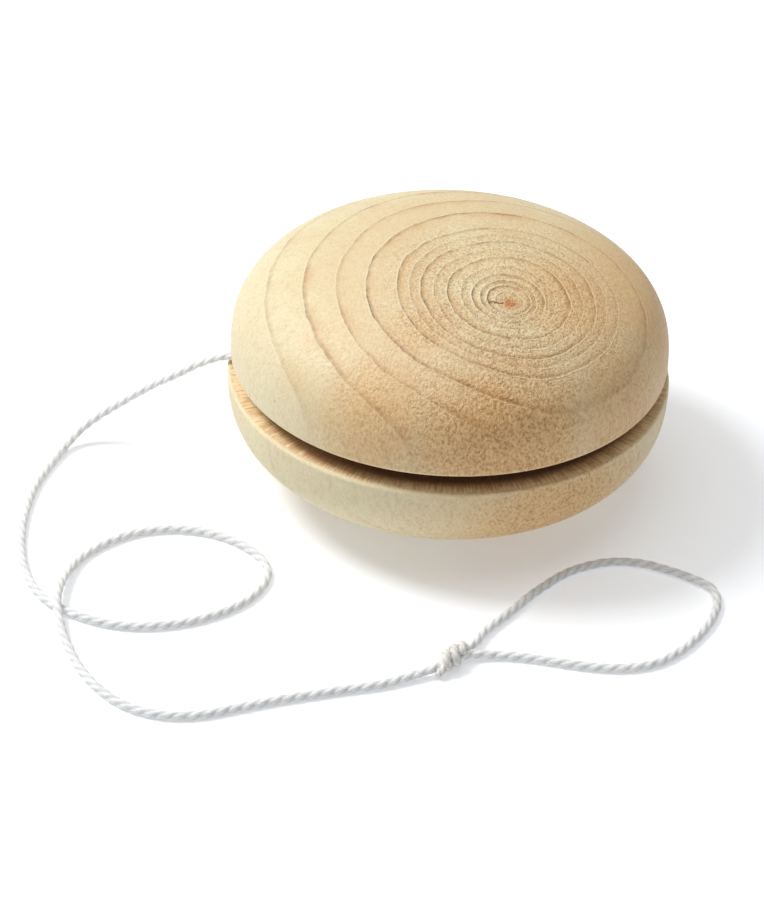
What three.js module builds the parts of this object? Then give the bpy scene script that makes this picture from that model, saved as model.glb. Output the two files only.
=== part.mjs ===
// A turned wooden yo-yo with its cotton string, in millimetres, +Z up.
// The yo-yo lies on the flat of its lower half: the axle is the Z axis, and the origin is the middle
// of that flat. The string is looped round the axle and wound up in the groove. It leaves the groove
// on the left, makes one loop on the surface, and ends in a knot with a fixed finger loop.

import * as THREE from 'three';

// Driving dimensions of the turned halves
const UPPER_RADIUS = 29;
const LOWER_RADIUS = 29.4;          // the lower half stands a little proud all round
const HALF_THICKNESS = 15.4;
const GROOVE_WIDTH = 2.4;
const FLAT_RADIUS = 7;              // small flat in the middle of each domed face
const LIP_RADIUS = 0.5;             // rounding of the edge beside the groove
const DOME_EXPONENT_ACROSS = 2.0;   // the dome is a superellipse
const DOME_EXPONENT_UP = 2.85;

// Axle: a dowel glued into a blind socket in each half
const AXLE_RADIUS = 3;
const SOCKET_DEPTH = 9;
const GLUE_LINE = 0.1;              // radial room round the dowel
const SOCKET_END_ROOM = 0.3;        // room at the bottom of each socket

// String
const STRING_RADIUS = 0.5;
const SOLID_GAP = 0.3;              // room between neighbouring string solids
const AXLE_LOOP_RADIUS = 3.7;       // centreline of the slip loop round the axle
const WINDING_INNER_RADIUS = AXLE_LOOP_RADIUS + STRING_RADIUS + SOLID_GAP;
const WINDING_LAYERS = 6;
const LAYER_PITCH = 0.95;
const WINDING_OUTER_RADIUS =
  WINDING_INNER_RADIUS + 2 * STRING_RADIUS + (WINDING_LAYERS - 1) * LAYER_PITCH;

// Fineness of the faceted solids
const TURNED_SIDES = 64;
const DOME_STEPS = 15;
const LIP_STEPS = 3;
const AXLE_SIDES = 32;
const STRING_SIDES = 8;
const RUN_STEPS = 62;
const FINGER_LOOP_STEPS = 24;

const GROOVE_MIDDLE_Z = HALF_THICKNESS + GROOVE_WIDTH / 2;
const UPPER_INNER_FACE_Z = HALF_THICKNESS + GROOVE_WIDTH;

// Free string from the edge of the winding to the knot: along the groove, over its edge and down in
// a slack curve, then one anticlockwise loop on the surface that crosses over itself in a low hump.
const STRING_RUN_ROUTE = [
  [-7.9, -7.7, 16.6], [-14.6, -5.5, 16.6], [-21.8, -3.2, 16.5], [-29.0, -0.9, 16.4],
  [-33.2, 0.0, 14.4], [-36.1, 0.4, 12.4], [-39.2, 1.1, 10.2], [-42.1, 1.7, 7.9],
  [-44.9, 2.1, 5.6], [-47.4, 2.1, 3.7], [-49.6, 1.3, 2.1], [-51.4, -0.8, 0.9],
  [-52.9, -4.3, 0.55], [-54.6, -10.2, 0.55], [-55.2, -17.2, 0.55], [-54.7, -24.3, 0.55],
  [-53.0, -30.2, 0.55], [-50.3, -34.3, 0.55], [-47.2, -36.6, 0.55], [-43.2, -38.3, 0.55],
  [-38.4, -39.0, 0.55], [-32.8, -38.0, 0.55], [-27.8, -35.5, 0.55], [-24.3, -32.1, 0.55],
  [-22.7, -28.2, 0.55], [-23.2, -25.1, 0.55], [-25.3, -22.3, 0.55], [-29.1, -19.7, 0.55],
  [-34.2, -18.5, 0.55], [-39.2, -19.2, 0.55], [-43.4, -21.6, 0.55], [-46.7, -25.2, 0.6],
  [-48.4, -29.9, 1.1], [-48.8, -35.0, 1.65], [-47.6, -40.7, 0.9], [-45.2, -46.5, 0.55],
  [-42.0, -51.2, 0.55], [-38.2, -54.4, 0.55], [-33.8, -55.8, 0.55], [-29.4, -55.5, 0.55],
  [-25.2, -54.1, 0.55], [-20.4, -52.4, 0.55], [-12.6, -50.1, 0.55], [-7.7, -48.8, 0.6],
  [-3.7, -47.1, 0.8], [-1.3, -45.9, 1.0],
];

// Finger loop: leaves the knot at the back and comes back to it at the front.
const FINGER_LOOP_ROUTE = [
  [3.7, -40.8, 0.9], [5.1, -38.0, 0.7], [8.3, -33.8, 0.55], [12.5, -28.5, 0.55],
  [16.7, -24.6, 0.55], [21.5, -22.6, 0.55], [25.3, -22.6, 0.55], [29.0, -23.9, 0.55],
  [32.2, -25.6, 0.55], [34.5, -27.6, 0.55], [34.9, -30.4, 0.55], [33.9, -33.9, 0.55],
  [31.9, -37.4, 0.55], [29.2, -40.7, 0.55], [26.3, -42.9, 0.55], [22.9, -44.0, 0.55],
  [19.2, -44.1, 0.55], [15.0, -43.5, 0.55], [10.7, -42.7, 0.55], [6.9, -42.4, 0.6],
  [4.6, -42.6, 0.8],
];

// Overhand knot: a pulled-tight lump, longer along the string than across it
const KNOT_CENTRE = [1.1, -44.0, 1.45];
const KNOT_HALF_LENGTH = 2.3;
const KNOT_HALF_WIDTH = 1.4;
const KNOT_HEADING = THREE.MathUtils.degToRad(42);
const KNOT_SIDES = 16;
const KNOT_RINGS = 10;

const paleWood = new THREE.MeshStandardMaterial({ color: 0xe9d9b2, roughness: 0.55, metalness: 0 });
const dowelWood = new THREE.MeshStandardMaterial({ color: 0xd9c08e, roughness: 0.65, metalness: 0 });
const cotton = new THREE.MeshStandardMaterial({ color: 0xeeeeea, roughness: 0.95, metalness: 0 });

function named(name, geometry, material) {
  const mesh = new THREE.Mesh(geometry, material);
  mesh.name = name;
  return mesh;
}

// Turns a profile of [radius, height] points about the Z axis.
function turned(profile, sides) {
  const points = profile.map(([radius, height]) => new THREE.Vector2(radius, height));
  return new THREE.LatheGeometry(points, sides).rotateX(Math.PI / 2);
}

// Quarter-round edge between the inner face, at height 0, and the widest part of the half.
function lipProfile(radius) {
  const points = [];
  for (let step = 0; step < LIP_STEPS; step += 1) {
    const angle = (step / LIP_STEPS) * (Math.PI / 2);
    points.push([
      radius - LIP_RADIUS * (1 - Math.sin(angle)),
      LIP_RADIUS * (1 - Math.cos(angle)),
    ]);
  }
  return points;
}

// Superellipse from the widest part up to the edge of the small flat.
function domeProfile(radius) {
  const flatAngle = Math.acos((FLAT_RADIUS / radius) ** (DOME_EXPONENT_ACROSS / 2));
  const heightAtFlat = Math.sin(flatAngle) ** (2 / DOME_EXPONENT_UP);
  const points = [];
  for (let step = 0; step <= DOME_STEPS; step += 1) {
    const angle = (step / DOME_STEPS) * flatAngle;
    const rise = Math.sin(angle) ** (2 / DOME_EXPONENT_UP) / heightAtFlat;
    points.push([
      radius * Math.cos(angle) ** (2 / DOME_EXPONENT_ACROSS),
      LIP_RADIUS + (HALF_THICKNESS - LIP_RADIUS) * rise,
    ]);
  }
  return points;
}

// One half with its inner face at height 0 and its domed face up.
function half(radius) {
  const socketRadius = AXLE_RADIUS + GLUE_LINE;
  return turned([
    [0, SOCKET_DEPTH + SOCKET_END_ROOM],
    [socketRadius, SOCKET_DEPTH + SOCKET_END_ROOM],
    [socketRadius, 0],
    ...lipProfile(radius),
    ...domeProfile(radius),
    [0, HALF_THICKNESS],
  ], TURNED_SIDES);
}

function upperHalf() {
  const mesh = named('upper_half', half(UPPER_RADIUS), paleWood);
  mesh.position.z = UPPER_INNER_FACE_Z;
  return mesh;
}

function lowerHalf() {
  const mesh = named('lower_half', half(LOWER_RADIUS), paleWood);
  mesh.rotation.x = Math.PI;
  mesh.position.z = HALF_THICKNESS;
  return mesh;
}

function axle() {
  const length = GROOVE_WIDTH + 2 * SOCKET_DEPTH;
  const geometry = new THREE.CylinderGeometry(AXLE_RADIUS, AXLE_RADIUS, length, AXLE_SIDES);
  const mesh = named('axle', geometry.rotateX(Math.PI / 2), dowelWood);
  mesh.position.z = GROOVE_MIDDLE_Z;
  return mesh;
}

// Round ring of one string thickness, lying against the axle.
function stringAxleLoop() {
  const section = [];
  for (let step = 0; step <= STRING_SIDES; step += 1) {
    const angle = (step / STRING_SIDES) * 2 * Math.PI;
    section.push([
      AXLE_LOOP_RADIUS + STRING_RADIUS * Math.cos(angle),
      STRING_RADIUS * Math.sin(angle),
    ]);
  }
  const mesh = named('string_axle_loop', turned(section, AXLE_SIDES), cotton);
  mesh.position.z = GROOVE_MIDDLE_Z;
  return mesh;
}

// Outer shape of the wound-up string: a flat ring that fills the groove with a little room.
function stringWinding() {
  const halfWidth = GROOVE_WIDTH / 2 - SOLID_GAP;
  const section = [
    [WINDING_INNER_RADIUS, -halfWidth],
    [WINDING_OUTER_RADIUS, -halfWidth],
    [WINDING_OUTER_RADIUS, halfWidth],
    [WINDING_INNER_RADIUS, halfWidth],
    [WINDING_INNER_RADIUS, -halfWidth],
  ];
  const mesh = named('string_winding', turned(section, TURNED_SIDES), cotton);
  mesh.position.z = GROOVE_MIDDLE_Z;
  return mesh;
}

function stringTube(route, steps) {
  const curve = new THREE.CatmullRomCurve3(
    route.map(([x, y, z]) => new THREE.Vector3(x, y, z)), false, 'centripetal',
  );
  const section = new THREE.Shape();
  for (let side = 0; side < STRING_SIDES; side += 1) {
    const angle = (side / STRING_SIDES) * 2 * Math.PI;
    const point = [STRING_RADIUS * Math.cos(angle), STRING_RADIUS * Math.sin(angle)];
    if (side === 0) section.moveTo(...point);
    else section.lineTo(...point);
  }
  section.closePath();
  return new THREE.ExtrudeGeometry(section, { steps, extrudePath: curve, curveSegments: 1 });
}

function fingerKnot() {
  const geometry = new THREE.SphereGeometry(1, KNOT_SIDES, KNOT_RINGS);
  geometry.rotateX(Math.PI / 2);
  geometry.scale(KNOT_HALF_LENGTH, KNOT_HALF_WIDTH, KNOT_HALF_WIDTH);
  const mesh = named('finger_knot', geometry, cotton);
  mesh.rotation.z = KNOT_HEADING;
  mesh.position.set(...KNOT_CENTRE);
  return mesh;
}

const yoYo = new THREE.Group();
yoYo.add(upperHalf(), lowerHalf(), axle());

const string = new THREE.Group();
string.add(
  stringAxleLoop(),
  stringWinding(),
  named('string_run', stringTube(STRING_RUN_ROUTE, RUN_STEPS), cotton),
  fingerKnot(),
  named('finger_loop', stringTube(FINGER_LOOP_ROUTE, FINGER_LOOP_STEPS), cotton),
);

const part = new THREE.Group();
part.add(yoYo, string);

export default part;
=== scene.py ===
import math

import bpy
import numpy as np
from mathutils import Matrix, Vector


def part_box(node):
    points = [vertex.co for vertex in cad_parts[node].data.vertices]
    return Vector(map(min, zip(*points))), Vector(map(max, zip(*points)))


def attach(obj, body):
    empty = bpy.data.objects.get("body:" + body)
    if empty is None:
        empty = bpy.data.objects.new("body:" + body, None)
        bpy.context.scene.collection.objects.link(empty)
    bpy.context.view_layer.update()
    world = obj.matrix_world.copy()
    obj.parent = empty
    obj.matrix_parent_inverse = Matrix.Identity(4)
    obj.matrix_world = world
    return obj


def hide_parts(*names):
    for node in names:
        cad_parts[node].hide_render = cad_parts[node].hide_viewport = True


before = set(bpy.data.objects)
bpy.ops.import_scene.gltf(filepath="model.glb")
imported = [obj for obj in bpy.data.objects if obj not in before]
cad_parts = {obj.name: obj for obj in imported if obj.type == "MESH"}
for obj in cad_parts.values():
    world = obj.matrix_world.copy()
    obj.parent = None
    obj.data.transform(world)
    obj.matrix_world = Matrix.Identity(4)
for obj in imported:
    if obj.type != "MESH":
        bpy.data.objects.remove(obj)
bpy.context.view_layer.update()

MM = 0.001
SOCKET_END_ROOM = 0.3 * MM      # room at the bottom of each socket

# ---------------------------------------------------------------- sizes taken from the frame

UPPER_LOW, UPPER_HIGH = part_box("upper_half")
LOWER_LOW, LOWER_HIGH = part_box("lower_half")
AXLE_LOW, AXLE_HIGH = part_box("axle")
KNOT_LOW, KNOT_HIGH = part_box("finger_knot")

UPPER_RADIUS = UPPER_HIGH.x
LOWER_RADIUS = LOWER_HIGH.x
HALF_THICKNESS = LOWER_HIGH.z - LOWER_LOW.z
AXLE_RADIUS = AXLE_HIGH.x
SOCKET_DEPTH = LOWER_HIGH.z - AXLE_LOW.z + SOCKET_END_ROOM
GROOVE_MIDDLE = (LOWER_HIGH.z + UPPER_LOW.z) / 2
KNOT_CENTRE = (KNOT_LOW + KNOT_HIGH) / 2

# ---------------------------------------------------------------- camera

VIEW_ELEVATION = math.radians(35.3)
VIEW_ROLL = math.radians(1.87)
VIEW_DISTANCE = 0.38
LENS = 113.5                # mm on a 36 mm long side
AIM_RIGHT = 0.0234          # where the yo-yo sits off the middle of the view, as slopes
AIM_UP = 0.0332


def make_camera():
    """Looks along +Y and down, with the yo-yo a little right of and above the middle."""
    down = Matrix.Rotation(math.pi / 2 - VIEW_ELEVATION, 3, "X")
    turn = down @ Matrix.Rotation(VIEW_ROLL, 3, "Z")
    ray = Vector((AIM_RIGHT, AIM_UP, -1)).normalized()
    camera = bpy.data.objects.new("camera", bpy.data.cameras.new("camera"))
    bpy.context.collection.objects.link(camera)
    camera.data.lens = LENS
    camera.data.clip_start = 0.01
    camera.rotation_euler = turn.to_euler()
    camera.location = Vector((0, 0, GROOVE_MIDDLE)) - turn @ ray * VIEW_DISTANCE
    bpy.context.scene.camera = camera


make_camera()

# ---------------------------------------------------------------- node helpers


class Nodes:
    """Short ways to write a material's nodes."""

    def __init__(self, tree):
        self.tree = tree

    def add(self, kind, inputs=(), **settings):
        node = self.tree.nodes.new(kind)
        for key, value in settings.items():
            setattr(node, key, value)
        for key, value in dict(inputs).items():
            self.put(node.inputs[key], value)
        return node

    def put(self, socket, value):
        if isinstance(value, bpy.types.NodeSocket):
            self.tree.links.new(value, socket)
        else:
            socket.default_value = value

    def math(self, operation, a, b=0.0):
        return self.add("ShaderNodeMath", {0: a, 1: b}, operation=operation).outputs[0]

    def vector(self, operation, a, b=(0, 0, 0)):
        node = self.add("ShaderNodeVectorMath", {0: a, 1: b}, operation=operation)
        return node.outputs["Value" if operation in ("LENGTH", "DOT_PRODUCT") else "Vector"]

    def scaled(self, a, x, y, z):
        return self.vector("MULTIPLY", a, (x, y, z))

    def step(self, value, low, high, out_low=0.0, out_high=1.0):
        """Smooth step from low to high."""
        node = self.add("ShaderNodeMapRange", interpolation_type="SMOOTHSTEP")
        for key, number in zip(range(5), (value, low, high, out_low, out_high)):
            self.put(node.inputs[key], number)
        return node.outputs[0]

    def noise(self, vector, scale, detail=2.0, roughness=0.5, colour=False):
        node = self.add(
            "ShaderNodeTexNoise",
            {"Vector": vector, "Scale": scale, "Detail": detail, "Roughness": roughness},
        )
        return node.outputs["Color" if colour else "Fac"]

    def mix(self, amount, a, b, blend="MIX"):
        node = self.add("ShaderNodeMix", data_type="RGBA", blend_type=blend)
        self.put(node.inputs[0], amount)
        self.put(node.inputs[6], a)
        self.put(node.inputs[7], b)
        return node.outputs[2]

    def bump(self, height, distance, strength):
        inputs = {"Height": height, "Distance": distance, "Strength": strength}
        return self.add("ShaderNodeBump", inputs).outputs[0]


def new_material(name):
    material = bpy.data.materials.new(name)
    material.use_nodes = True
    nodes = Nodes(material.node_tree)
    shader = material.node_tree.nodes["Principled BSDF"]
    return material, nodes, shader


def rgb(red, green, blue):
    """A colour given as seen on screen, 0 to 255, as the linear value that the nodes take."""
    linear = []
    for channel in (red, green, blue):
        c = channel / 255
        linear.append(c / 12.92 if c <= 0.04045 else ((c + 0.055) / 1.055) ** 2.4)
    return (*linear, 1.0)


# ---------------------------------------------------------------- wood

# Colours of the wood, as seen on screen. KNOT_DOT is for the wood's own tiny knots.
HEARTWOOD = rgb(219, 197, 156)
SAPWOOD = rgb(219, 206, 170)
TAN_PATCH = rgb(218, 188, 142)
CREAM_PATCH = rgb(222, 213, 172)
DARK_FLECK = rgb(160, 124, 78)
PALE_FLECK = rgb(240, 230, 200)
COARSE_FLECK = rgb(178, 142, 92)
SCRATCH = rgb(246, 236, 208)
RING_BAND = rgb(198, 156, 98)
RING_LINE = rgb(146, 104, 58)
RING_EDGE_HIGHLIGHT = rgb(246, 236, 208)
STAIN_AND_SHADE_TINT = rgb(252, 212, 164)
PITH = rgb(184, 104, 30)
CRACK = rgb(122, 66, 30)
KNOT_DOT = rgb(120, 92, 50)
LIP_HIGHLIGHT = rgb(246, 228, 184)
WORN_DARK = rgb(220, 178, 128)
WORN_PALE = rgb(250, 226, 182)
GROOVE_SHADE = rgb(92, 28, 12)

# Growth rings: mean radius from the pith in mm, and how strongly each one shows
GROWTH_RINGS = [
    (1.6, 0.45), (2.7, 1.0), (3.5, 0.7), (4.6, 0.8), (6.0, 0.35), (7.9, 0.9), (9.6, 0.4),
    (11.3, 0.85), (12.7, 0.35), (14.3, 0.75), (18.2, 1.0), (22.1, 0.6), (26.4, 0.9), (31.3, 0.7),
    (36.5, 0.6), (42.0, 0.5), (48.0, 0.5),
]
RING_OFFSET = 0.22          # how far the rings' centres drift towards +Y, per mm of radius
FAR = 100.0                 # mm, more than any ring's radius

# The pith's place in each half, in mm: the rings don't run round the middle of the yo-yo
UPPER_PITH = (7.1, -10.9)
LOWER_PITH = (-8.0, 6.5)

# Soft tan stains, partly painted shade: they darken the front and right sides, away from the key
# light. Each gives centre in mm, reach in mm, strength of the tint, and added speckle
UPPER_STAINS_AND_SHADE = [
    ((6, -29, 22), 18, 0.75, 0.8), ((30, 0, 26), 22, 0.5, 0.0), ((-4, -17, 32), 7, 0.35, 0.3),
    ((21, -17, 21), 13, 0.5, 0.3), ((-9, -25, 23), 12, 0.6, 0.3), ((16, -8, 32), 13, 0.45, 0.0),
]
LOWER_STAINS_AND_SHADE = [((14, -26, 8), 24, 0.75, 0.7), ((28, 2, 8), 20, 0.4, 0.7)]

# Worn inner face, with painted shade further into the groove. Each edge is a pair of distances in from
# the rim, in mm: full there, then none.
WORN_EDGE = (0.7, 0.3)
GROOVE_SHADE_EDGE = (3.0, 1.2)
STREAKS_PER_RADIAN = 100.0

WOOD_BUMP = 0.28 * MM


def product(nodes, *values):
    """All the values multiplied together."""
    total = values[0]
    for value in values[1:]:
        total = nodes.math("MULTIPLY", total, value)
    return total


def off_middle(nodes, noise, reach):
    """A noise value as a shift either way, up to about half the reach."""
    return nodes.math("MULTIPLY", nodes.math("SUBTRACT", noise, 0.5), reach)


def ring_distance(nodes, place, pith):
    """Mean radius, in mm, of the growth ring that a point lies on. The rings are eccentric.
    Also gives the arm from the pith to the point, bent as the rings are."""
    wander = nodes.noise(nodes.scaled(place, 1, 1, 0.25), 0.07, 2.0, 0.5, colour=True)
    wander = nodes.scaled(nodes.vector("SUBTRACT", wander, (0.5, 0.5, 0.5)), 1.3, 1.3, 0)
    ripple = nodes.noise(nodes.scaled(place, 1, 1, 0.12), 0.45, 2.0, 0.5, colour=True)
    ripple = nodes.scaled(nodes.vector("SUBTRACT", ripple, (0.5, 0.5, 0.5)), 0.4, 0.4, 0)
    flat = nodes.scaled(place, 1, 1, 0)
    arm = nodes.vector("SUBTRACT", flat, (pith[0], pith[1], 0))
    bend = nodes.step(nodes.vector("LENGTH", arm), 0.5, 9.0)
    node = nodes.add("ShaderNodeVectorMath", {0: wander, "Scale": bend}, operation="SCALE")
    arm = nodes.vector("ADD", arm, nodes.vector("ADD", node.outputs[0], ripple))
    k = RING_OFFSET
    along = nodes.math("MULTIPLY", nodes.vector("DOT_PRODUCT", arm, (0, 1, 0)), k)
    square = nodes.math("MULTIPLY", nodes.vector("DOT_PRODUCT", arm, arm), 1 - k * k)
    root = nodes.math("SQRT", nodes.math("ADD", nodes.math("MULTIPLY", along, along), square))
    radius = nodes.math("DIVIDE", nodes.math("SUBTRACT", root, along), 1 - k * k)
    return radius, arm


def ring_gaps(nodes, radius):
    """How far a point lies inside the next ring out, and outside the last ring in, in mm."""
    inside = outside = FAR
    for ring, _ in GROWTH_RINGS:
        to_ring = nodes.math("SUBTRACT", ring, radius)
        inside = nodes.math("MINIMUM", inside, nodes.math("FLOORED_MODULO", to_ring, FAR))
        from_ring = nodes.math("SUBTRACT", radius, ring)
        outside = nodes.math("MINIMUM", outside, nodes.math("FLOORED_MODULO", from_ring, FAR))
    return inside, outside


def ring_strength(nodes, radius):
    """How strongly the rings show at this radius."""
    ramp = nodes.add("ShaderNodeValToRGB", {0: nodes.math("DIVIDE", radius, FAR)})
    stops = ramp.color_ramp.elements
    for ring, strength in GROWTH_RINGS:
        stops.new(ring / FAR).color = (strength, strength, strength, 1)
    return nodes.add("ShaderNodeSeparateColor", {0: ramp.outputs[0]}).outputs[0]


def broad_colour(nodes, sapwood, patches):
    """Cream sapwood outside, tan near the pith, and soft patches."""
    colour = nodes.mix(sapwood, HEARTWOOD, SAPWOOD)
    colour = nodes.mix(nodes.step(patches, 0.5, 0.72, 0.0, 0.35), colour, TAN_PATCH)
    return nodes.mix(nodes.step(patches, 0.5, 0.3, 0.0, 0.5), colour, CREAM_PATCH)


def stain_and_shade_masks(nodes, place, patches, stains_and_shade):
    """How stained the wood is, stains that are partly painted shade, and how much speckle the stains
    add.
    """
    stain_and_shade = flecked = 0.0
    for centre, reach, tint, flecks in stains_and_shade:
        away = nodes.vector("LENGTH", nodes.vector("SUBTRACT", place, centre))
        away = nodes.math("ADD", away, off_middle(nodes, patches, reach))
        stain_and_shade = nodes.math("MAXIMUM", stain_and_shade, nodes.step(away, 0.2 * reach, reach, tint, 0.0))
        flecked = nodes.math("MAXIMUM", flecked, nodes.step(away, 0.2 * reach, reach, flecks, 0.0))
    return stain_and_shade, flecked


def speckled(nodes, colour, pores, coarse, vigour):
    """Fine light and dark flecks, and a few coarse ones."""
    dark_pores = product(nodes, nodes.step(pores, 0.51, 0.64), vigour, 0.62)
    light_pores = product(nodes, nodes.step(pores, 0.49, 0.37), vigour, 0.6)
    colour = nodes.mix(dark_pores, colour, DARK_FLECK)
    colour = nodes.mix(light_pores, colour, PALE_FLECK)
    return nodes.mix(nodes.step(coarse, 0.5, 0.72, 0.0, 0.16), colour, COARSE_FLECK)


def scratch_mask(nodes, place, vigour):
    """Short pale scratches in all directions, left by the turning and sanding."""
    warp = nodes.noise(place, 0.5, 1.0, 0.5, colour=True)
    warped = nodes.vector("ADD", place, nodes.scaled(warp, 3.0, 3.0, 0.0))
    cells = nodes.add(
        "ShaderNodeTexVoronoi", {"Vector": nodes.scaled(warped, 1, 1, 0.2), "Scale": 0.5},
        feature="DISTANCE_TO_EDGE",
    ).outputs["Distance"]
    scratch_place = nodes.step(nodes.noise(place, 0.9, 1.0), 0.56, 0.66)
    return product(nodes, nodes.step(cells, 0.005, 0.04, 1.0, 0.0), scratch_place, vigour)


def ring_masks(nodes, radius, shown, coarse, patches):
    """A ring's thin line, a painted highlight along its outer edge, and the soft band that fades
    inwards from it.
    """
    inside, outside = ring_gaps(nodes, radius)
    line = nodes.math(
        "MAXIMUM", nodes.step(inside, 0.0, 0.6, 1.0, 0.0), nodes.step(outside, 0.0, 0.15, 1.0, 0.0),
    )
    line = product(nodes, line, shown, nodes.step(coarse, 0.3, 0.6, 0.6, 1.0))
    highlight_edge = nodes.math(
        "MULTIPLY", nodes.step(outside, 0.08, 0.22), nodes.step(outside, 0.22, 0.42, 1.0, 0.0),
    )
    highlight_edge = product(nodes, highlight_edge, shown, nodes.step(coarse, 0.4, 0.6, 0.3, 1.0))
    band = nodes.step(inside, 0.0, 1.9, 1.0, 0.0)
    band = product(nodes, band, shown, nodes.step(patches, 0.4, 0.6))
    return line, highlight_edge, band


def pith_mask(nodes, arm, pores):
    """A small ragged spot at the middle of the rings."""
    away = nodes.math("ADD", nodes.vector("LENGTH", arm), off_middle(nodes, pores, 4.5))
    return nodes.step(away, 0.2, 1.3, 0.9, 0.0)


def crack_mask(nodes, arm_x, arm_y, coarse):
    """A short drying crack beside the pith, on its -X side."""
    across = nodes.math("ADD", arm_y, nodes.math("MULTIPLY", coarse, 0.8))
    across = nodes.math("ABSOLUTE", nodes.math("SUBTRACT", across, 0.2))
    return product(
        nodes, nodes.step(across, 0.05, 0.16, 1.0, 0.0), nodes.step(arm_x, -2.7, -2.0),
        nodes.step(arm_x, -1.0, -0.6, 1.0, 0.0),
    )


def lip_highlight_mask(nodes, from_face, coarse):
    """The rounded edge beside the groove, with a painted highlight along it."""
    lip_highlight = nodes.math(
        "MULTIPLY", nodes.step(from_face, 0.05, 0.15), nodes.step(from_face, 0.25, 0.6, 1.0, 0.0),
    )
    return product(nodes, lip_highlight, nodes.step(coarse, 0.35, 0.55, 0.4, 1.0))


def face_mask(nodes, from_face, from_axis, coarse, rim_radius):
    """The flat inner face, with a ragged edge just inside the rim."""
    inner, outer = (rim_radius - width for width in WORN_EDGE)
    ragged = nodes.math("ADD", from_axis, off_middle(nodes, coarse, 1.2))
    return nodes.math(
        "MULTIPLY", nodes.step(from_face, 0.08, 0.3, 1.0, 0.0),
        nodes.step(ragged, inner, outer, 1.0, 0.0),
    )


def worn_and_shaded_face(nodes, parts, from_axis, rim_radius):
    """Radial wear streaks on the inner face, and painted shade: dark brown further into the groove,
    and less so towards -X, where the key light reaches in.
    """
    angle = nodes.math("ARCTAN2", parts.outputs[1], parts.outputs[0])
    streak = nodes.add("ShaderNodeCombineXYZ", {
        0: nodes.math("MULTIPLY", angle, STREAKS_PER_RADIAN),
        1: nodes.math("MULTIPLY", from_axis, 0.3),
    }).outputs[0]
    streaks = nodes.noise(streak, 1.0, 3.0, 0.6)
    inner_face_colour = nodes.mix(nodes.step(streaks, 0.4, 0.6), WORN_DARK, WORN_PALE)
    full, none = (rim_radius - width for width in GROOVE_SHADE_EDGE)
    # Painted shade: darker deeper into the groove, weaker on the -X side that the key light reaches
    recess_shade = nodes.math(
        "MULTIPLY", nodes.step(from_axis, full, none, 1.0, 0.0),
        nodes.step(parts.outputs[0], -27.0, -8.0, 0.3, 1.0),
    )
    return nodes.mix(nodes.math("MULTIPLY", recess_shade, 0.9), inner_face_colour, GROOVE_SHADE)


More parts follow.
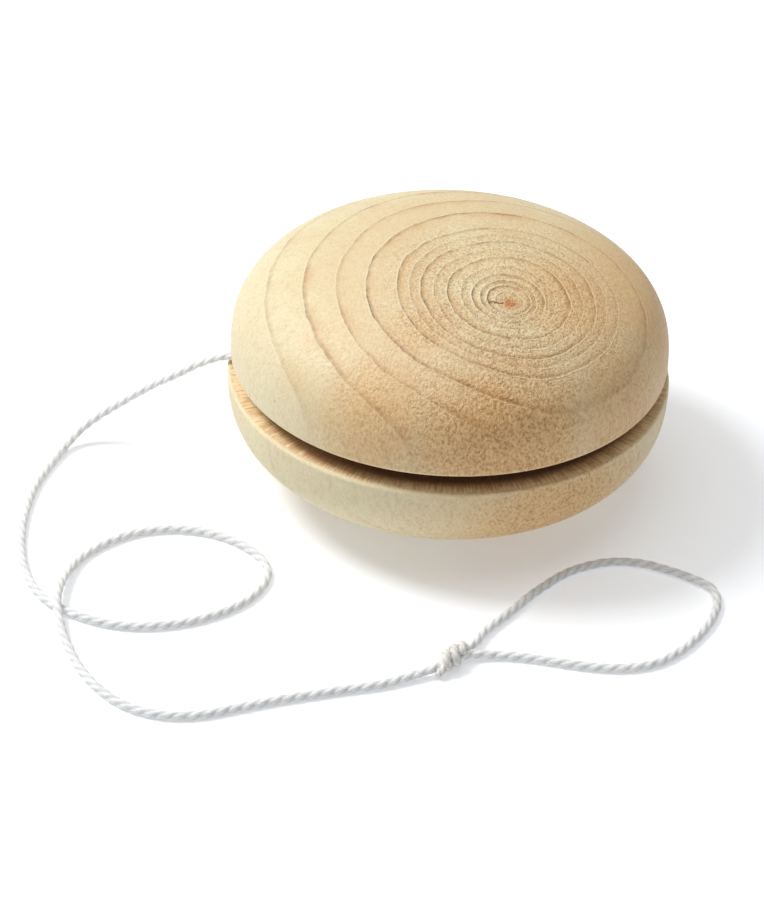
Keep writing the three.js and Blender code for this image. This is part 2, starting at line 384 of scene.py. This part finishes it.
def wood_material(name, pith, inner_face, rim_radius, stains_and_shade):
    """Pale bare hardwood whose fibres and rings run along Z. The places are in mm."""
    material, nodes, shader = new_material(name)
    coords = nodes.add("ShaderNodeTexCoord").outputs["Object"]
    place = nodes.scaled(coords, 1 / MM, 1 / MM, 1 / MM)
    parts = nodes.add("ShaderNodeSeparateXYZ", {0: place})
    from_face = nodes.math("ABSOLUTE", nodes.math("SUBTRACT", parts.outputs[2], inner_face))
    from_axis = nodes.vector("LENGTH", nodes.scaled(place, 1, 1, 0))
    radius, arm = ring_distance(nodes, place, pith)
    arm_parts = nodes.add("ShaderNodeSeparateXYZ", {0: arm})

    sapwood = nodes.step(radius, 19.0, 34.0)
    patches = nodes.noise(nodes.scaled(place, 1, 1, 0.5), 0.11, 3.0, 0.55)
    pores = nodes.noise(nodes.scaled(place, 1, 1, 0.7), 2.7, 2.0, 0.7)
    coarse = nodes.noise(nodes.scaled(place, 1, 1, 0.5), 1.1, 2.0, 0.6)
    uneven = nodes.noise(nodes.scaled(place, 1, 1, 0.2), 0.25, 1.0)
    stain_and_shade, flecked = stain_and_shade_masks(nodes, place, patches, stains_and_shade)

    # The speckle is weaker in the sapwood and near the groove, and stronger in the stains
    vigour = nodes.math(
        "MULTIPLY", nodes.step(radius, 8.0, 20.0, 0.8, 0.22),
        nodes.step(from_face, 2.0, 7.0, 0.9, 1.0),
    )
    vigour = nodes.math("ADD", vigour, flecked)
    colour = broad_colour(nodes, sapwood, patches)
    colour = speckled(nodes, colour, pores, coarse, vigour)
    scratches = scratch_mask(nodes, place, vigour)
    colour = nodes.mix(nodes.math("MULTIPLY", scratches, 0.5), colour, SCRATCH)

    # The rings are strongest on the domed face, and fainter on the sides and towards +X
    shown = product(
        nodes, ring_strength(nodes, radius), nodes.step(uneven, 0.32, 0.6, 0.5, 1.0),
        nodes.step(arm_parts.outputs[0], 4.0, 13.0, 1.0, 0.5),
        nodes.step(from_face, 1.0, 11.0, 0.15, 1.0), nodes.step(sapwood, 0.0, 1.0, 1.0, 0.7),
    )
    line, highlight_edge, band = ring_masks(nodes, radius, shown, coarse, patches)
    colour = nodes.mix(nodes.math("MULTIPLY", band, 0.65), colour, RING_BAND)
    colour = nodes.mix(nodes.math("MULTIPLY", line, 0.62), colour, RING_LINE)
    # Painted highlight: the lit side of each ring's ridge, painted pale
    colour = nodes.mix(nodes.math("MULTIPLY", highlight_edge, 0.5), colour, RING_EDGE_HIGHLIGHT)
    # Tan stains, partly painted shade darkening the front and right sides
    colour = nodes.mix(stain_and_shade, colour, STAIN_AND_SHADE_TINT, blend="MULTIPLY")

    colour = nodes.mix(pith_mask(nodes, arm, pores), colour, PITH)
    crack = crack_mask(nodes, arm_parts.outputs[0], arm_parts.outputs[1], coarse)
    colour = nodes.mix(nodes.math("MULTIPLY", crack, 0.8), colour, CRACK)
    dots = nodes.add("ShaderNodeTexVoronoi", {"Vector": place, "Scale": 0.13}).outputs["Distance"]
    colour = nodes.mix(nodes.step(dots, 0.02, 0.045, 0.6, 0.0), colour, KNOT_DOT)

    lip_highlight = lip_highlight_mask(nodes, from_face, coarse)
    # Painted highlight along the rounded lip beside the groove
    colour = nodes.mix(nodes.math("MULTIPLY", lip_highlight, 0.5), colour, LIP_HIGHLIGHT)
    # The inner face: wear streaks and the painted groove shade
    face = face_mask(nodes, from_face, from_axis, coarse, rim_radius)
    inner_face_colour = worn_and_shaded_face(nodes, parts, from_axis, rim_radius)
    colour = nodes.mix(nodes.math("MULTIPLY", face, 0.9), colour, inner_face_colour)

    relief = nodes.math("MULTIPLY", nodes.math("SUBTRACT", highlight_edge, line), 0.4)
    relief = nodes.math("ADD", relief, nodes.math("MULTIPLY", scratches, 0.3))
    grain = nodes.math("ADD", nodes.math("MULTIPLY", pores, 0.8), nodes.math("MULTIPLY", coarse, 0.4))
    grain_depth = nodes.math("ADD", vigour, 0.12)
    relief = nodes.math("SUBTRACT", relief, nodes.math("MULTIPLY", grain, grain_depth))
    relief = nodes.math("SUBTRACT", relief, crack)
    nodes.put(shader.inputs["Base Color"], colour)
    nodes.put(shader.inputs["Roughness"], nodes.step(pores, 0.3, 0.7, 0.46, 0.6))
    nodes.put(shader.inputs["Normal"], nodes.bump(relief, WOOD_BUMP, 1.0))
    shader.inputs["Specular IOR Level"].default_value = 0.42
    return material


DOWEL_PALE = rgb(226, 200, 152)
DOWEL_DARK = rgb(190, 152, 100)
DOWEL_BAND = rgb(170, 128, 78)


def dowel_material():
    """Straight long grain along the axle."""
    material, nodes, shader = new_material("dowel_wood")
    coords = nodes.add("ShaderNodeTexCoord").outputs["Object"]
    place = nodes.scaled(coords, 1 / MM, 1 / MM, 1 / MM)
    fibres = nodes.noise(nodes.scaled(place, 1, 1, 0.06), 3.5, 4.0, 0.65)
    bands = nodes.noise(nodes.scaled(place, 1, 0.3, 0.03), 1.2, 2.0, 0.5)
    colour = nodes.mix(nodes.step(fibres, 0.4, 0.62), DOWEL_PALE, DOWEL_DARK)
    colour = nodes.mix(nodes.step(bands, 0.5, 0.62, 0.0, 0.5), colour, DOWEL_BAND)
    nodes.put(shader.inputs["Base Color"], colour)
    nodes.put(shader.inputs["Roughness"], nodes.step(fibres, 0.3, 0.7, 0.5, 0.7))
    nodes.put(shader.inputs["Normal"], nodes.bump(fibres, 0.08 * MM, 0.6))
    return material


# ---------------------------------------------------------------- cotton

FIBRE = "fibre"             # around and along the string, in mm
CREASE = "crease"           # 1 in the valley between two plies

# Light and dark cotton, clean on the string and greyer on the knot
CLEAN_COTTON = rgb(247, 248, 247), rgb(238, 239, 238)
HANDLED_COTTON = rgb(242, 239, 233), rgb(228, 224, 215)
HAIR_SHADE = rgb(204, 205, 204)
CREASE_PAINTED_SHADE = rgb(172, 174, 174)


def cotton_material(name, light, dark):
    """White cotton: fine fibres along the string, with painted shade between the plies."""
    material, nodes, shader = new_material(name)
    fibre = nodes.add("ShaderNodeAttribute", attribute_name=FIBRE).outputs["Vector"]
    crease = nodes.add("ShaderNodeAttribute", attribute_name=CREASE).outputs["Fac"]
    hairs = nodes.noise(nodes.scaled(fibre, 9, 9, 1.3), 1.0, 4.0, 0.65)
    slubs = nodes.noise(fibre, 0.9, 2.0, 0.5)
    colour = nodes.mix(nodes.step(slubs, 0.3, 0.7), light, dark)
    colour = nodes.mix(nodes.step(hairs, 0.42, 0.66, 0.0, 0.6), colour, HAIR_SHADE)
    # Painted shade in the valleys between the plies
    valley_shade = nodes.math("MULTIPLY", nodes.math("POWER", crease, 2.0), 0.4)
    colour = nodes.mix(valley_shade, colour, CREASE_PAINTED_SHADE)
    nodes.put(shader.inputs["Base Color"], colour)
    nodes.put(shader.inputs["Normal"], nodes.bump(hairs, 0.05 * MM, 0.8))
    shader.inputs["Roughness"].default_value = 0.9
    shader.inputs["Specular IOR Level"].default_value = 0.2
    shader.inputs["Sheen Weight"].default_value = 0.25
    shader.inputs["Sheen Roughness"].default_value = 0.5
    return material


# ---------------------------------------------------------------- mesh helpers

SHARP_ANGLE = math.radians(40)


def new_piece(name, vertices, faces, material):
    mesh = bpy.data.meshes.new(name)
    mesh.from_pydata(vertices, [], faces)
    mesh.materials.append(material)
    mesh.polygons.foreach_set("use_smooth", [True] * len(mesh.polygons))
    mesh.update()
    piece = bpy.data.objects.new(name, mesh)
    bpy.context.collection.objects.link(piece)
    return piece


def turned(name, profile, sides, material):
    """A profile of (radius, height), from the axis round to the axis, turned about Z."""
    start, *rings, end = profile
    vertices = [(0, 0, start[1])]
    for radius, height in rings:
        for side in range(sides):
            angle = 2 * math.pi * side / sides
            vertices.append((radius * math.cos(angle), radius * math.sin(angle), height))
    vertices.append((0, 0, end[1]))
    faces = []
    for side in range(sides):
        following = (side + 1) % sides
        faces.append((0, 1 + following, 1 + side))
        for ring in range(len(rings) - 1):
            near = 1 + ring * sides
            far = near + sides
            faces.append((near + side, near + following, far + following, far + side))
        last = 1 + (len(rings) - 1) * sides
        faces.append((last + side, last + following, len(vertices) - 1))
    piece = new_piece(name, vertices, faces, material)
    piece.data.set_sharp_from_angle(angle=SHARP_ANGLE)
    return piece


# ---------------------------------------------------------------- turned halves

LIP = 0.5 * MM
FLAT_RADIUS = 7 * MM
DOME_EXPONENT_ACROSS = 2.0
DOME_EXPONENT_UP = 2.85
SOCKET_CHAMFER = 0.35 * MM
GLUE_LINE = 0.1 * MM
FACE_STEPS = 12
LIP_STEPS = 9
DOME_STEPS = 72
DOME_CROWDING = 1.3         # above 1, the steps lie closer together beside the lip
TURNED_SIDES = 288

AXLE_CHAMFER = 0.4 * MM
AXLE_STEPS = 24
AXLE_SIDES = 96


def half_profile(radius):
    """From the bottom of the socket, over the inner face and the lip, up the dome."""
    socket = AXLE_RADIUS + GLUE_LINE
    profile = [
        (0, SOCKET_DEPTH), (socket, SOCKET_DEPTH), (socket, SOCKET_CHAMFER),
        (socket + SOCKET_CHAMFER, 0),
    ]
    for step in range(2, FACE_STEPS):
        profile.append((socket + (radius - socket) * step / FACE_STEPS, 0))
    for step in range(LIP_STEPS):
        angle = step / LIP_STEPS * math.pi / 2
        profile.append((radius - LIP * (1 - math.sin(angle)), LIP * (1 - math.cos(angle))))
    flat_angle = math.acos((FLAT_RADIUS / radius) ** (DOME_EXPONENT_ACROSS / 2))
    full = math.sin(flat_angle) ** (2 / DOME_EXPONENT_UP)
    for step in range(DOME_STEPS + 1):
        angle = (step / DOME_STEPS) ** DOME_CROWDING * flat_angle
        rise = math.sin(angle) ** (2 / DOME_EXPONENT_UP) / full
        across = radius * math.cos(angle) ** (2 / DOME_EXPONENT_ACROSS)
        profile.append((across, LIP + (HALF_THICKNESS - LIP) * rise))
    profile += [(FLAT_RADIUS / 2, HALF_THICKNESS), (0, HALF_THICKNESS)]
    return profile


def make_half(name, radius, inner_face, up, material):
    """One half, its inner face at the height given; up is 1 for the upper half, -1 for the lower."""
    profile = [(across, inner_face + up * height) for across, height in half_profile(radius)]
    if up < 0:
        profile.reverse()
    piece = turned(name, profile, TURNED_SIDES, material)
    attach(piece, "yo_yo")
    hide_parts(name)


def make_axle(material):
    """A dowel with a small chamfer at each end."""
    low, high = AXLE_LOW.z, AXLE_HIGH.z
    straight = high - low - 2 * AXLE_CHAMFER
    profile = [(0, low), (AXLE_RADIUS - AXLE_CHAMFER, low)]
    for step in range(AXLE_STEPS + 1):
        profile.append((AXLE_RADIUS, low + AXLE_CHAMFER + straight * step / AXLE_STEPS))
    profile += [(AXLE_RADIUS - AXLE_CHAMFER, high), (0, high)]
    piece = turned("turned_axle", profile, AXLE_SIDES, material)
    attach(piece, "yo_yo")
    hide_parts("axle")


# ---------------------------------------------------------------- string

PLIES = 3
PLY_RADIUS = 0.38 * MM
PLY_OFFSET = 0.2 * MM
TWIST_PITCH = 5.0 * MM      # one full turn of a ply
SLUB_DEPTH = 0.035          # how far the thickness comes and goes, as a share of it
SLUB_RATE = 2900            # radians a metre
STRING_SIDES = 18
FREE_SPACING = 0.2 * MM
WOUND_SPACING = 0.4 * MM
CURVE_STEPS = 24            # to a stretch between two points of a route

AXLE_LOOP_RADIUS = 3.7 * MM
AXLE_LOOP_POINTS = 121
WINDING_TURNS = 12
WINDING_FIRST_RADIUS = 5.0 * MM
LAYER_PITCH = 0.95 * MM
COLUMN_OFFSET = 0.48 * MM   # of each of the two columns of turns from the groove's middle
TURN_POINTS = 36
STEP_OUT_AT = 0.75          # the share of a turn after which it moves over to the next one's place

# Stray fibres
HAIR_STEPS = 4
HAIR_CORNERS = 3
HAIR_RADIUS = 0.014 * MM
HAIR_ROOT = 0.4 * MM        # from the string's middle
HAIR_REACH = (0.25 * MM, 0.6 * MM)
HAIR_FLOOR = 0.03 * MM      # the fibres stay this far above the surface
HAIRS_PER_MM = 3

# The free string's route in mm, from the edge of the winding to the knot, as in the CAD model
STRING_RUN_ROUTE = [
    (-7.9, -7.7, 16.6), (-14.6, -5.5, 16.6), (-21.8, -3.2, 16.5), (-29.0, -0.9, 16.4),
    (-33.2, 0.0, 14.4), (-36.1, 0.4, 12.4), (-39.2, 1.1, 10.2), (-42.1, 1.7, 7.9),
    (-44.9, 2.1, 5.6), (-47.4, 2.1, 3.7), (-49.6, 1.3, 2.1), (-51.4, -0.8, 0.9),
    (-52.9, -4.3, 0.55), (-54.6, -10.2, 0.55), (-55.2, -17.2, 0.55), (-54.7, -24.3, 0.55),
    (-53.0, -30.2, 0.55), (-50.3, -34.3, 0.55), (-47.2, -36.6, 0.55), (-43.2, -38.3, 0.55),
    (-38.4, -39.0, 0.55), (-32.8, -38.0, 0.55), (-27.8, -35.5, 0.55), (-24.3, -32.1, 0.55),
    (-22.7, -28.2, 0.55), (-23.2, -25.1, 0.55), (-25.3, -22.3, 0.55), (-29.1, -19.7, 0.55),
    (-34.2, -18.5, 0.55), (-39.2, -19.2, 0.55), (-43.4, -21.6, 0.55), (-46.7, -25.2, 0.6),
    (-48.4, -29.9, 1.1), (-48.8, -35.0, 1.65), (-47.6, -40.7, 0.9), (-45.2, -46.5, 0.55),
    (-42.0, -51.2, 0.55), (-38.2, -54.4, 0.55), (-33.8, -55.8, 0.55), (-29.4, -55.5, 0.55),
    (-25.2, -54.1, 0.55), (-20.4, -52.4, 0.55), (-12.6, -50.1, 0.55), (-7.7, -48.8, 0.6),
    (-3.7, -47.1, 0.8), (-1.3, -45.9, 1.0),
]
GROOVE_EDGE_POINT = 3       # the route's point at the edge of the groove
RUN_END_IN_KNOT = [(1.1, -44.1, 1.4)]

# The finger loop's route in mm, out of the knot at the back and into it at the front
FINGER_LOOP_ROUTE = [
    (3.7, -40.8, 0.9), (5.1, -38.0, 0.7), (8.3, -33.8, 0.55), (12.5, -28.5, 0.55),
    (16.7, -24.6, 0.55), (21.5, -22.6, 0.55), (25.3, -22.6, 0.55), (29.0, -23.9, 0.55),
    (32.2, -25.6, 0.55), (34.5, -27.6, 0.55), (34.9, -30.4, 0.55), (33.9, -33.9, 0.55),
    (31.9, -37.4, 0.55), (29.2, -40.7, 0.55), (26.3, -42.9, 0.55), (22.9, -44.0, 0.55),
    (19.2, -44.1, 0.55), (15.0, -43.5, 0.55), (10.7, -42.7, 0.55), (6.9, -42.4, 0.6),
    (4.6, -42.6, 0.8),
]
LOOP_START_IN_KNOT = [(1.5, -43.4, 1.6), (2.7, -42.2, 1.3)]
LOOP_END_IN_KNOT = [(3.2, -42.9, 1.0), (1.6, -43.9, 1.2)]


def metres(points):
    return np.array(points, dtype=float) * MM


def even(points, spacing):
    """The same line with its points the given distance apart."""
    points = np.asarray(points)
    lengths = np.linalg.norm(np.diff(points, axis=0), axis=1)
    along = np.concatenate([[0], np.cumsum(lengths)])
    count = max(2, int(round(along[-1] / spacing)) + 1)
    wanted = np.linspace(0, along[-1], count)
    return np.stack([np.interp(wanted, along, points[:, axis]) for axis in range(3)], axis=1)


def smooth_line(points, spacing):
    """Centripetal Catmull-Rom curve through the points."""
    points = np.asarray(points)
    first = 2 * points[0] - points[1]
    last = 2 * points[-1] - points[-2]
    p = np.concatenate([[first], points, [last]])
    line = []
    for i in range(1, len(p) - 2):
        a, b, c, d = p[i - 1:i + 3]
        spans = [np.linalg.norm(v - u) ** 0.5 for u, v in ((a, b), (b, c), (c, d))]
        knots = np.cumsum([0] + spans)
        for t in np.linspace(knots[1], knots[2], CURVE_STEPS, endpoint=False):
            ab = a + (b - a) * (t - knots[0]) / (knots[1] - knots[0])
            bc = b + (c - b) * (t - knots[1]) / (knots[2] - knots[1])
            cd = c + (d - c) * (t - knots[2]) / (knots[3] - knots[2])
            abc = ab + (bc - ab) * (t - knots[0]) / (knots[2] - knots[0])
            bcd = bc + (cd - bc) * (t - knots[1]) / (knots[3] - knots[1])
            line.append(abc + (bcd - abc) * (t - knots[1]) / (knots[2] - knots[1]))
    line.append(points[-1])
    return even(line, spacing)


def winding_line():
    """Two turns to a layer, side by side, each layer outside the last, wound clockwise.
    It ends where a straight line to the groove's edge leaves it."""
    def turn_place(turn):
        layer = turn // 2
        side = 1 if (turn % 4) in (1, 2) else -1
        return WINDING_FIRST_RADIUS + LAYER_PITCH * layer, side * COLUMN_OFFSET

    outermost = turn_place(WINDING_TURNS - 1)[0]
    leaving = Vector(STRING_RUN_ROUTE[GROOVE_EDGE_POINT][:2]) * MM
    end_angle = math.atan2(leaving.y, leaving.x) + math.acos(outermost / leaving.length)
    line = []
    for step in range(WINDING_TURNS * TURN_POINTS + 1):
        turn, part = divmod(step / TURN_POINTS, 1)
        radius, height = turn_place(int(turn))
        if turn < WINDING_TURNS - 1 and part > STEP_OUT_AT:
            mix = (part - STEP_OUT_AT) / (1 - STEP_OUT_AT)
            mix = mix * mix * (3 - 2 * mix)
            next_radius, next_height = turn_place(int(turn) + 1)
            radius += (next_radius - radius) * mix
            height += (next_height - height) * mix
        if turn >= WINDING_TURNS:
            radius, height = turn_place(WINDING_TURNS - 1)
        angle = end_angle + 2 * math.pi * (WINDING_TURNS - turn - part)
        line.append((radius * math.cos(angle), radius * math.sin(angle), GROOVE_MIDDLE + height))
    return line


def frames_along(line):
    """Tangent and two cross directions at each point, carried along without twisting."""
    tangents = np.gradient(line, axis=0)
    tangents /= np.linalg.norm(tangents, axis=1)[:, None]
    side = np.cross(tangents[0], (0, 0, 1))
    if np.linalg.norm(side) < 0.1:
        side = np.cross(tangents[0], (1, 0, 0))
    sides = []
    for tangent in tangents:
        side = side - tangent * np.dot(side, tangent)
        side = side / np.linalg.norm(side)
        sides.append(side)
    sides = np.array(sides)
    return tangents, sides, np.cross(tangents, sides)


def ply_section(around):
    """Outline of three plies laid together: (radius, crease) at each angle."""
    nearest = np.remainder(around + math.pi / PLIES, 2 * math.pi / PLIES) - math.pi / PLIES
    reach = PLY_RADIUS ** 2 - (PLY_OFFSET * np.sin(nearest)) ** 2
    radius = PLY_OFFSET * np.cos(nearest) + np.sqrt(reach)
    return radius, np.abs(nearest) * PLIES / math.pi


def tube_faces(rings, sides):
    """Faces of a tube of rings, closed by two end points that follow the rings' points."""
    last = (rings - 1) * sides
    start_cap, end_cap = rings * sides, rings * sides + 1
    faces = []
    for side in range(sides):
        following = (side + 1) % sides
        faces.append((start_cap, following, side))
        faces.append((end_cap, last + side, last + following))
        for near in range(0, last, sides):
            far = near + sides
            faces.append((near + side, near + following, far + following, far + side))
    return faces


def cord_mesh(line, thickness=None, phase=0.0, pitch=TWIST_PITCH):
    """Vertices, faces, fibre and crease values of a twisted string along the line."""
    line = np.asarray(line)
    _, across, above = frames_along(line)
    steps = np.linalg.norm(np.diff(line, axis=0), axis=1)
    along = np.concatenate([[0], np.cumsum(steps)])
    if thickness is None:
        thickness = np.ones(len(line))
    section = 2 * math.pi * np.arange(STRING_SIDES) / STRING_SIDES
    radius, crease = ply_section(section)
    twist = phase - 2 * math.pi * along / pitch
    angle = section[None, :] + twist[:, None]
    swing = np.sin(along * SLUB_RATE + phase)[:, None] * np.sin(3 * section + 1.3)[None, :]
    slub = 1 + SLUB_DEPTH * swing
    reach = radius[None, :] * thickness[:, None] * slub
    cos, sin = np.cos(angle) * reach, np.sin(angle) * reach
    offsets = cos[..., None] * across[:, None, :] + sin[..., None] * above[:, None, :]
    vertices = line[:, None, :] + offsets
    vertices = np.concatenate([vertices.reshape(-1, 3), line[:1], line[-1:]])
    # The soft string flattens where it lies on the surface
    vertices[:, 2] = np.maximum(vertices[:, 2], 0.0)
    along_each = np.broadcast_to(along[:, None] / MM, angle.shape)
    fibre = np.stack([np.cos(angle) * 0.5, np.sin(angle) * 0.5, along_each], -1)
    fibre = np.concatenate([fibre.reshape(-1, 3), [(0, 0, 0)], [(0, 0, along[-1] / MM)]])
    crease = np.concatenate([np.tile(crease, len(line)), [0.5, 0.5]])
    return vertices, tube_faces(len(line), STRING_SIDES), fibre, crease


def hair_faces(base):
    """Faces of one fibre whose points start at base: a thin tube with its ends closed."""
    tip = base + HAIR_CORNERS * HAIR_STEPS
    faces = [(base, base + 2, base + 1), (tip, tip + 1, tip + 2)]
    for near in range(base, tip, HAIR_CORNERS):
        far = near + HAIR_CORNERS
        for corner in range(HAIR_CORNERS):
            following = (corner + 1) % HAIR_CORNERS
            faces.append((near + corner, near + following, far + following, far + corner))
    return faces


def fuzz(line, per_mm, seed):
    """Fine stray fibres that stand off the string, in the same form as cord_mesh gives."""
    draw = np.random.default_rng(seed)
    tangents, across, above = frames_along(line)
    vertices, faces = [], []
    for _ in range(int(length_of(line) / MM * per_mm)):
        at = draw.integers(4, len(line) - 4)
        angle = draw.uniform(0, 2 * math.pi)
        out = across[at] * math.cos(angle) + above[at] * math.sin(angle)
        lean = tangents[at] * draw.uniform(-1.2, 1.2)
        lean = lean + np.cross(tangents[at], out) * draw.uniform(-0.8, 0.8)
        curl = draw.normal(0, 0.5, 3)
        reach = draw.uniform(*HAIR_REACH)
        faces += hair_faces(len(vertices))
        for step in range(HAIR_STEPS + 1):
            t = step / HAIR_STEPS
            middle = line[at] + out * HAIR_ROOT + (out * t * 0.5 + lean * t + curl * t * t) * reach
            middle[2] = max(middle[2], HAIR_FLOOR)
            for corner in range(HAIR_CORNERS):
                turn = 2 * math.pi * corner / HAIR_CORNERS
                side = across[at] * math.cos(turn) + above[at] * math.sin(turn)
                vertices.append(middle + side * HAIR_RADIUS * (1 - 0.7 * t))
    return np.array(vertices), faces, np.zeros((len(vertices), 3)), np.zeros(len(vertices))


def joined_cords(name, cords, material):
    """One piece from several twisted lengths."""
    vertices, faces, fibre, crease = [], [], [], []
    for own_vertices, own_faces, own_fibre, own_crease in cords:
        base = len(vertices)
        vertices += own_vertices.tolist()
        faces += [tuple(base + index for index in face) for face in own_faces]
        fibre.append(own_fibre)
        crease.append(own_crease)
    piece = new_piece(name, vertices, faces, material)
    attribute = piece.data.attributes.new(FIBRE, "FLOAT_VECTOR", "POINT")
    attribute.data.foreach_set("vector", np.concatenate(fibre).ravel())
    attribute = piece.data.attributes.new(CREASE, "FLOAT", "POINT")
    attribute.data.foreach_set("value", np.concatenate(crease))
    return piece


def string_piece(piece, *nodes):
    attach(piece, "string")
    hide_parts(*nodes)
    return piece


def length_of(line):
    return float(np.linalg.norm(np.diff(line, axis=0), axis=1).sum())


def make_axle_loop(material):
    """The string's slip loop: one twisted turn lying against the axle."""
    angles = np.linspace(0, 2 * math.pi, AXLE_LOOP_POINTS)
    heights = np.full(AXLE_LOOP_POINTS, GROOVE_MIDDLE)
    ring = np.stack([AXLE_LOOP_RADIUS * np.cos(angles), AXLE_LOOP_RADIUS * np.sin(angles), heights], 1)
    piece = joined_cords("axle_loop", [cord_mesh(ring)], material)
    return string_piece(piece, "string_axle_loop")


def make_string(material):
    """The one continuous length from the axle loop, round the winding, to the knot."""
    wound = winding_line()
    route = np.concatenate([wound[-2:], metres(STRING_RUN_ROUTE + RUN_END_IN_KNOT)])
    free = smooth_line(route, FREE_SPACING)
    wound = even(wound[:-1], WOUND_SPACING)
    line = np.concatenate([wound[:-1], free])
    piece = joined_cords("string", [cord_mesh(line), fuzz(free, HAIRS_PER_MM, seed=11)], material)
    string_piece(piece, "string_run", "string_winding")


def make_finger_loop(material):
    """The loop for the finger, with both its ends in the knot."""
    route = LOOP_START_IN_KNOT + FINGER_LOOP_ROUTE + LOOP_END_IN_KNOT
    line = smooth_line(metres(route), FREE_SPACING)
    cords = [cord_mesh(line), fuzz(line, HAIRS_PER_MM, seed=12)]
    piece = joined_cords("finger_loop_cord", cords, material)
    string_piece(piece, "finger_loop")


# ---------------------------------------------------------------- knot

KNOT_HEADING = math.radians(42)
WRAP_TURNS = 2
WRAP_PITCH = 1.35 * MM
WRAP_LEAN = 0.85 * MM
WRAP_TWIST = 2.6 * MM       # the pull on the knot closes up the lay
WRAP_POINTS = 30            # to a turn
TUCK_POINTS = 10            # at each end, where the turns are tucked in
WRAP_REACH = 0.93 * MM
TUCK_IN = 0.45 * MM
WRAP_START = 0.6            # radians
KNOT_SPACING = 0.12 * MM
WRAP_HAIRS_PER_MM = 5
TAIL_HAIRS_PER_MM = 20

# The cut end's route in mm, along the knot, across it and up from its middle
TAIL_ROUTE = [(-0.4, -0.2, -0.3), (-1.6, -0.5, -0.35), (-2.5, -0.75, -0.5), (-3.3, -0.9, -0.75)]


def knot_place(along, across, height):
    """A point given along and across the knot, as a place in the row frame, in metres."""
    cos, sin = math.cos(KNOT_HEADING), math.sin(KNOT_HEADING)
    return (
        KNOT_CENTRE.x + along * cos - across * sin,
        KNOT_CENTRE.y + along * sin + across * cos,
        KNOT_CENTRE.z + height,
    )


def wrap_line():
    """The string wound round itself: turns that lean over and are tucked in at both ends."""
    line = []
    for step in range(-TUCK_POINTS, WRAP_POINTS * WRAP_TURNS + TUCK_POINTS + 1):
        turn = step / WRAP_POINTS
        tuck = max(0.0, -turn, turn - WRAP_TURNS) * WRAP_POINTS / TUCK_POINTS
        angle = 2 * math.pi * turn + WRAP_START
        swell = 1 - 0.16 * abs(turn / WRAP_TURNS - 0.5) * 2
        reach = (WRAP_REACH - TUCK_IN * min(1.0, tuck)) * swell
        along = (turn - WRAP_TURNS / 2) * WRAP_PITCH + WRAP_LEAN * math.cos(angle)
        line.append(knot_place(along, reach * math.cos(angle), reach * math.sin(angle)))
    return even(line, KNOT_SPACING)


def tail_line():
    """The cut end, lying beside the string on its near side."""
    return smooth_line([knot_place(*place) for place in metres(TAIL_ROUTE)], KNOT_SPACING)


def make_knot(material):
    """The pulled-tight overhand knot with its frayed cut end."""
    wraps, tail = wrap_line(), tail_line()
    taper = 1 - 0.25 * np.linspace(0, 1, len(tail)) ** 3
    cords = [
        cord_mesh(wraps, pitch=WRAP_TWIST), cord_mesh(tail, taper, 1.0, WRAP_TWIST),
        fuzz(wraps, WRAP_HAIRS_PER_MM, seed=13), fuzz(tail, TAIL_HAIRS_PER_MM, seed=14),
    ]
    piece = joined_cords("overhand_knot", cords, material)
    return string_piece(piece, "finger_knot")


# ---------------------------------------------------------------- stage

FLOOR_REACH = 3.0               # metres, from the middle to each side
FLOOR_COLOUR = (0.76, 0.78, 0.81, 1)
FLOOR_GLOW = 0.3
LIGHT_AIM = (0, 0, 0.015)       # about the middle of the yo-yo


def make_floor():
    """A plain pale floor, lit a little from below as a light table is."""
    reach = FLOOR_REACH
    corners = [(-reach, -reach, 0), (reach, -reach, 0), (reach, reach, 0), (-reach, reach, 0)]
    material, _, shader = new_material("white_floor")
    shader.inputs["Base Color"].default_value = FLOOR_COLOUR
    shader.inputs["Emission Color"].default_value = (1, 1, 1, 1)
    shader.inputs["Emission Strength"].default_value = FLOOR_GLOW
    shader.inputs["Roughness"].default_value = 0.9
    shader.inputs["Specular IOR Level"].default_value = 0.0
    floor = new_piece("floor", corners, [(0, 1, 2, 3)], material)


def area_light(name, place, size, power):
    """A round soft light; its size is in metres and its power in watts."""
    data = bpy.data.lights.new(name, "AREA")
    data.shape = "DISK"
    data.size = size
    data.energy = power
    light = bpy.data.objects.new(name, data)
    bpy.context.collection.objects.link(light)
    light.location = place
    towards = Vector(LIGHT_AIM) - Vector(place)
    light.rotation_euler = towards.to_track_quat("-Z", "Y").to_euler()


def make_light():
    """A key light from the upper left, a wide top light, and an even fill from the world."""
    world = bpy.data.worlds.new("studio")
    bpy.context.scene.world = world
    world.use_nodes = True
    background = world.node_tree.nodes["Background"]
    background.inputs["Color"].default_value = (1.0, 1.0, 1.0, 1)
    background.inputs["Strength"].default_value = 0.25
    area_light("key_light", (-0.46, 0.13, 0.60), 0.28, 4.7)
    area_light("top_light", (-0.06, 0.05, 0.85), 0.9, 2.9)
    bpy.context.scene.view_settings.view_transform = "Standard"


# ---------------------------------------------------------------- build

cotton = cotton_material("cotton_string", *CLEAN_COTTON)
knot = make_knot(cotton_material("handled_cotton", *HANDLED_COTTON))
axle_loop = make_axle_loop(cotton)
make_string(cotton)
make_finger_loop(cotton)

upper_wood = wood_material(
    "upper_wood", UPPER_PITH, UPPER_LOW.z / MM, UPPER_RADIUS / MM, UPPER_STAINS_AND_SHADE,
)
lower_wood = wood_material(
    "lower_wood", LOWER_PITH, LOWER_HIGH.z / MM, LOWER_RADIUS / MM, LOWER_STAINS_AND_SHADE,
)
make_half("upper_half", UPPER_RADIUS, UPPER_LOW.z, 1, upper_wood)
make_half("lower_half", LOWER_RADIUS, LOWER_HIGH.z, -1, lower_wood)
make_axle(dowel_material())

make_floor()
make_light()
